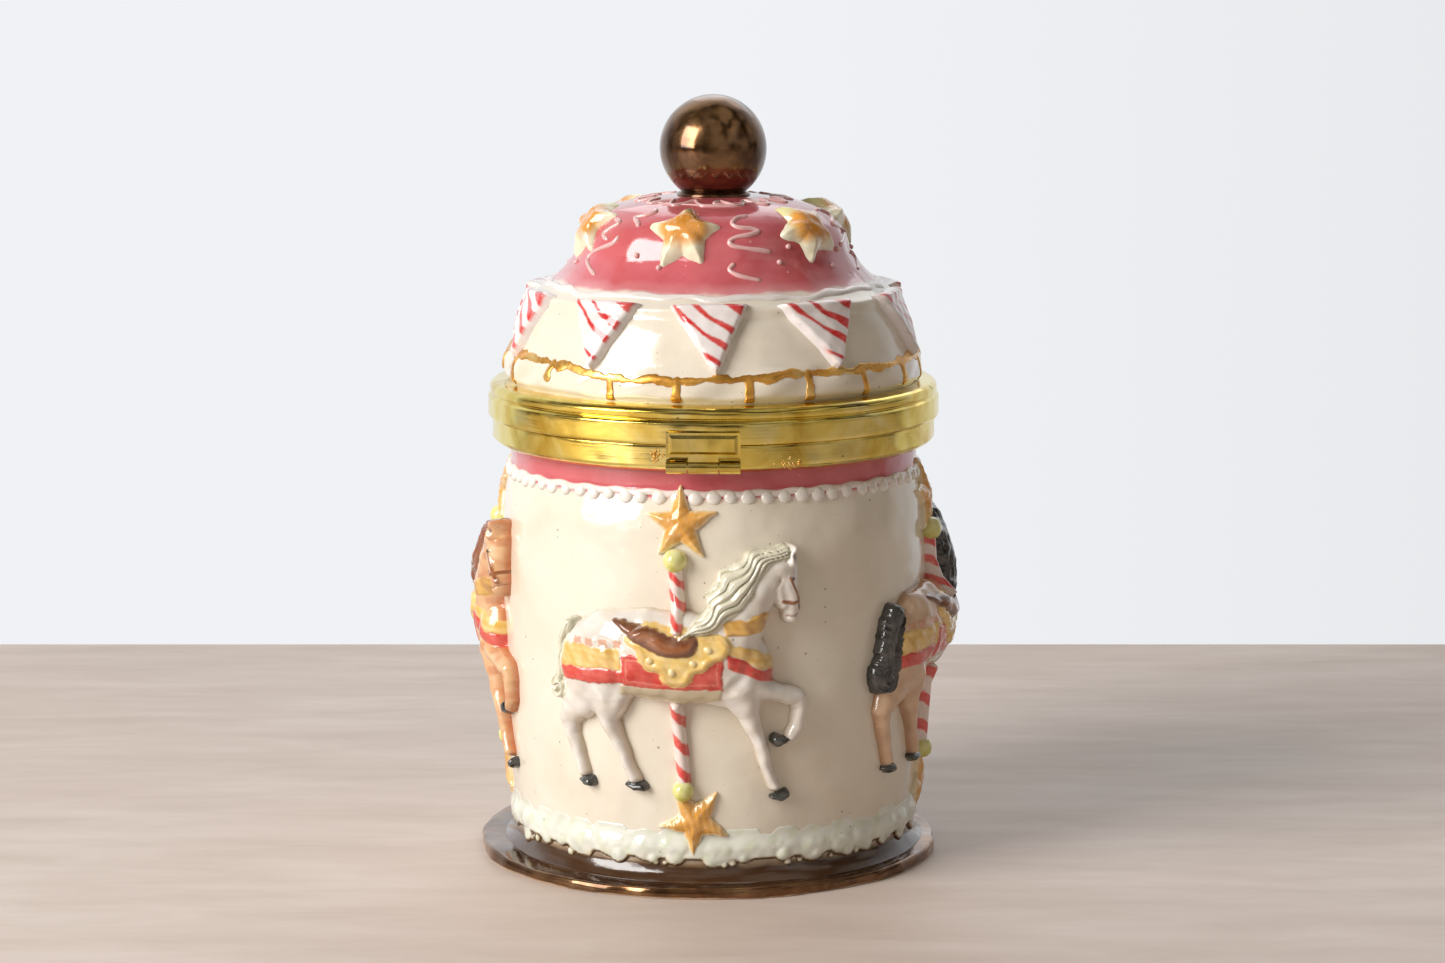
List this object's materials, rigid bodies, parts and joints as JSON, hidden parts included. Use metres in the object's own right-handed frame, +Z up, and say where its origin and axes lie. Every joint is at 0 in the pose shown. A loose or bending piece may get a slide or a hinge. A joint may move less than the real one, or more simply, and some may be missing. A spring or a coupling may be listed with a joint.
{
  "type": "carousel music box",
  "caption": "Round lidded ceramic jar music box shaped as a carousel: relief horses on striped poles, starred domed lid, ball knob, hinged brass rims and clasp.",
  "frame": {"origin": "on the jar's axis, on the surface that it stands on", "axes": "+Z up; -Y is the front, with the clasp; +X is to the right seen from the front; the lid's hinge is at +Y"},
  "size_m": [0.1316, 0.1316, 0.204],
  "materials": {
    "cream_glaze": "glossy speckled cream glaze",
    "lid_glaze": "glossy pink and white glaze",
    "bronze_lustre": "bronze metallic lustre glaze",
    "painted_sprig": "underglaze-painted relief under clear glaze",
    "star_glaze": "orange and yellow glaze",
    "striped_glaze": "white glaze with red stripes",
    "ball_glaze": "yellow-green glaze",
    "polished_brass": "polished, slightly worn",
    "movement_steel": "brushed",
    "movement_brass": "satin",
    "cast_bed": "cast, satin",
    "floor_wood": "plywood",
    "red_felt": "felt",
    "nylon": "moulded"
  },
  "bodies": {
    "jar": {"base_disc": "bronze_lustre", "pot_shell": "cream_glaze", "bead_trim": "cream_glaze", "frill": "cream_glaze", "upper_stars": "star_glaze", "lower_stars": "star_glaze", "horse_front": "painted_sprig", "horse_right": "painted_sprig", "horse_back": "painted_sprig", "horse_left": "painted_sprig", "pole_front": "striped_glaze", "pole_right": "striped_glaze", "pole_back": "striped_glaze", "pole_left": "striped_glaze", "upper_pole_balls": "ball_glaze", "lower_pole_balls": "ball_glaze", "body_rim": "polished_brass", "clasp_knuckles": "polished_brass", "clasp_pin": "polished_brass", "hinge_lower_leaf": "polished_brass", "hinge_pin": "polished_brass", "false_floor": "floor_wood", "felt_pad": "red_felt", "bedplate": "cast_bed", "movement_screws": "movement_steel", "spring_housing": "movement_brass", "mainspring": "movement_steel", "comb": "movement_steel", "comb_screws": "movement_steel", "comb_block": "movement_brass", "governor_frame": "movement_brass", "bearing_posts": "movement_brass"},
    "lid": {"lid_shell": "lid_glaze", "ball_knob": "bronze_lustre", "bunting_flags": "striped_glaze", "dome_stars": "star_glaze", "lid_rim": "polished_brass", "hinge_upper_leaf": "polished_brass"},
    "clasp": {"clasp_plate": "polished_brass"},
    "winder": {"winding_arbor": "movement_brass", "winding_key": "movement_brass"},
    "cylinder": {"pinned_cylinder": "movement_brass", "cylinder_arbor": "movement_steel"},
    "governor": {"governor_wheel": "nylon"},
    "brake": {"air_brake": "nylon"}
  },
  "joints": [
    {"name": "lid_hinge", "type": "hinge", "parent": "jar", "child": "lid", "pos_m": [0.00251, 0.06255, 0.1185], "axis": [-0.9992, 0.0401, 0], "range_deg": [0, 100]},
    {"name": "clasp_pivot", "type": "hinge", "parent": "jar", "child": "clasp", "pos_m": [-0.00247, -0.06145, 0.1132], "axis": [0.9992, -0.0401, 0], "range_deg": [0, 95]},
    {"name": "cylinder_turn", "type": "hinge", "parent": "jar", "child": "cylinder", "pos_m": [-0.011, -0.006, 0.0327], "axis": [1, 0, 0], "continuous": true},
    {"name": "winder_turn", "type": "hinge", "parent": "jar", "child": "winder", "pos_m": [0.0145, -0.006, 0.02], "axis": [0, 0, 1], "continuous": true},
    {"name": "governor_turn", "type": "hinge", "parent": "jar", "child": "governor", "pos_m": [-0.025, -0.014, 0.0327], "axis": [1, 0, 0], "continuous": true},
    {"name": "brake_turn", "type": "hinge", "parent": "jar", "child": "brake", "pos_m": [-0.0246, -0.0196, 0.03], "axis": [0, 0, 1], "continuous": true}
  ],
  "couplings": [
    {"joint": "winder_turn", "follows": "cylinder_turn", "ratio": -0.33333},
    {"joint": "governor_turn", "follows": "cylinder_turn", "ratio": -3},
    {"joint": "brake_turn", "follows": "cylinder_turn", "ratio": -30}
  ]
}
